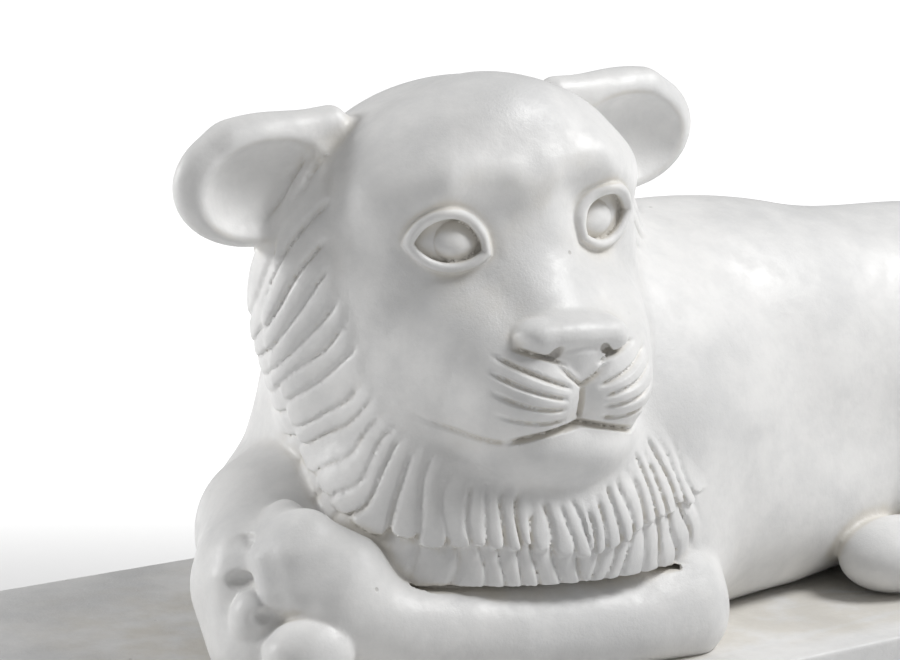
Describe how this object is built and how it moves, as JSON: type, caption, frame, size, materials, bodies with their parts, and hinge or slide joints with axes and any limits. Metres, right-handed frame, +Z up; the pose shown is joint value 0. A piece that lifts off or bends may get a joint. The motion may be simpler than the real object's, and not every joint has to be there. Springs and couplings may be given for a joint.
{
  "type": "lion statue",
  "caption": "Recumbent lion with turned head, carved mane and crossed forepaws on a low rectangular plinth, cut from one block.",
  "frame": {"origin": "middle of the underside of the plinth", "axes": "+Z up, +X along the body towards the rump; the face looks towards -Y"},
  "size_m": [1, 0.44, 0.47],
  "materials": {
    "marble": "fine-rubbed white marble, slightly weathered, with faint beige stains in the hollows"
  },
  "bodies": {
    "root": {"lion_on_plinth": "marble"}
  },
  "joints": []
}
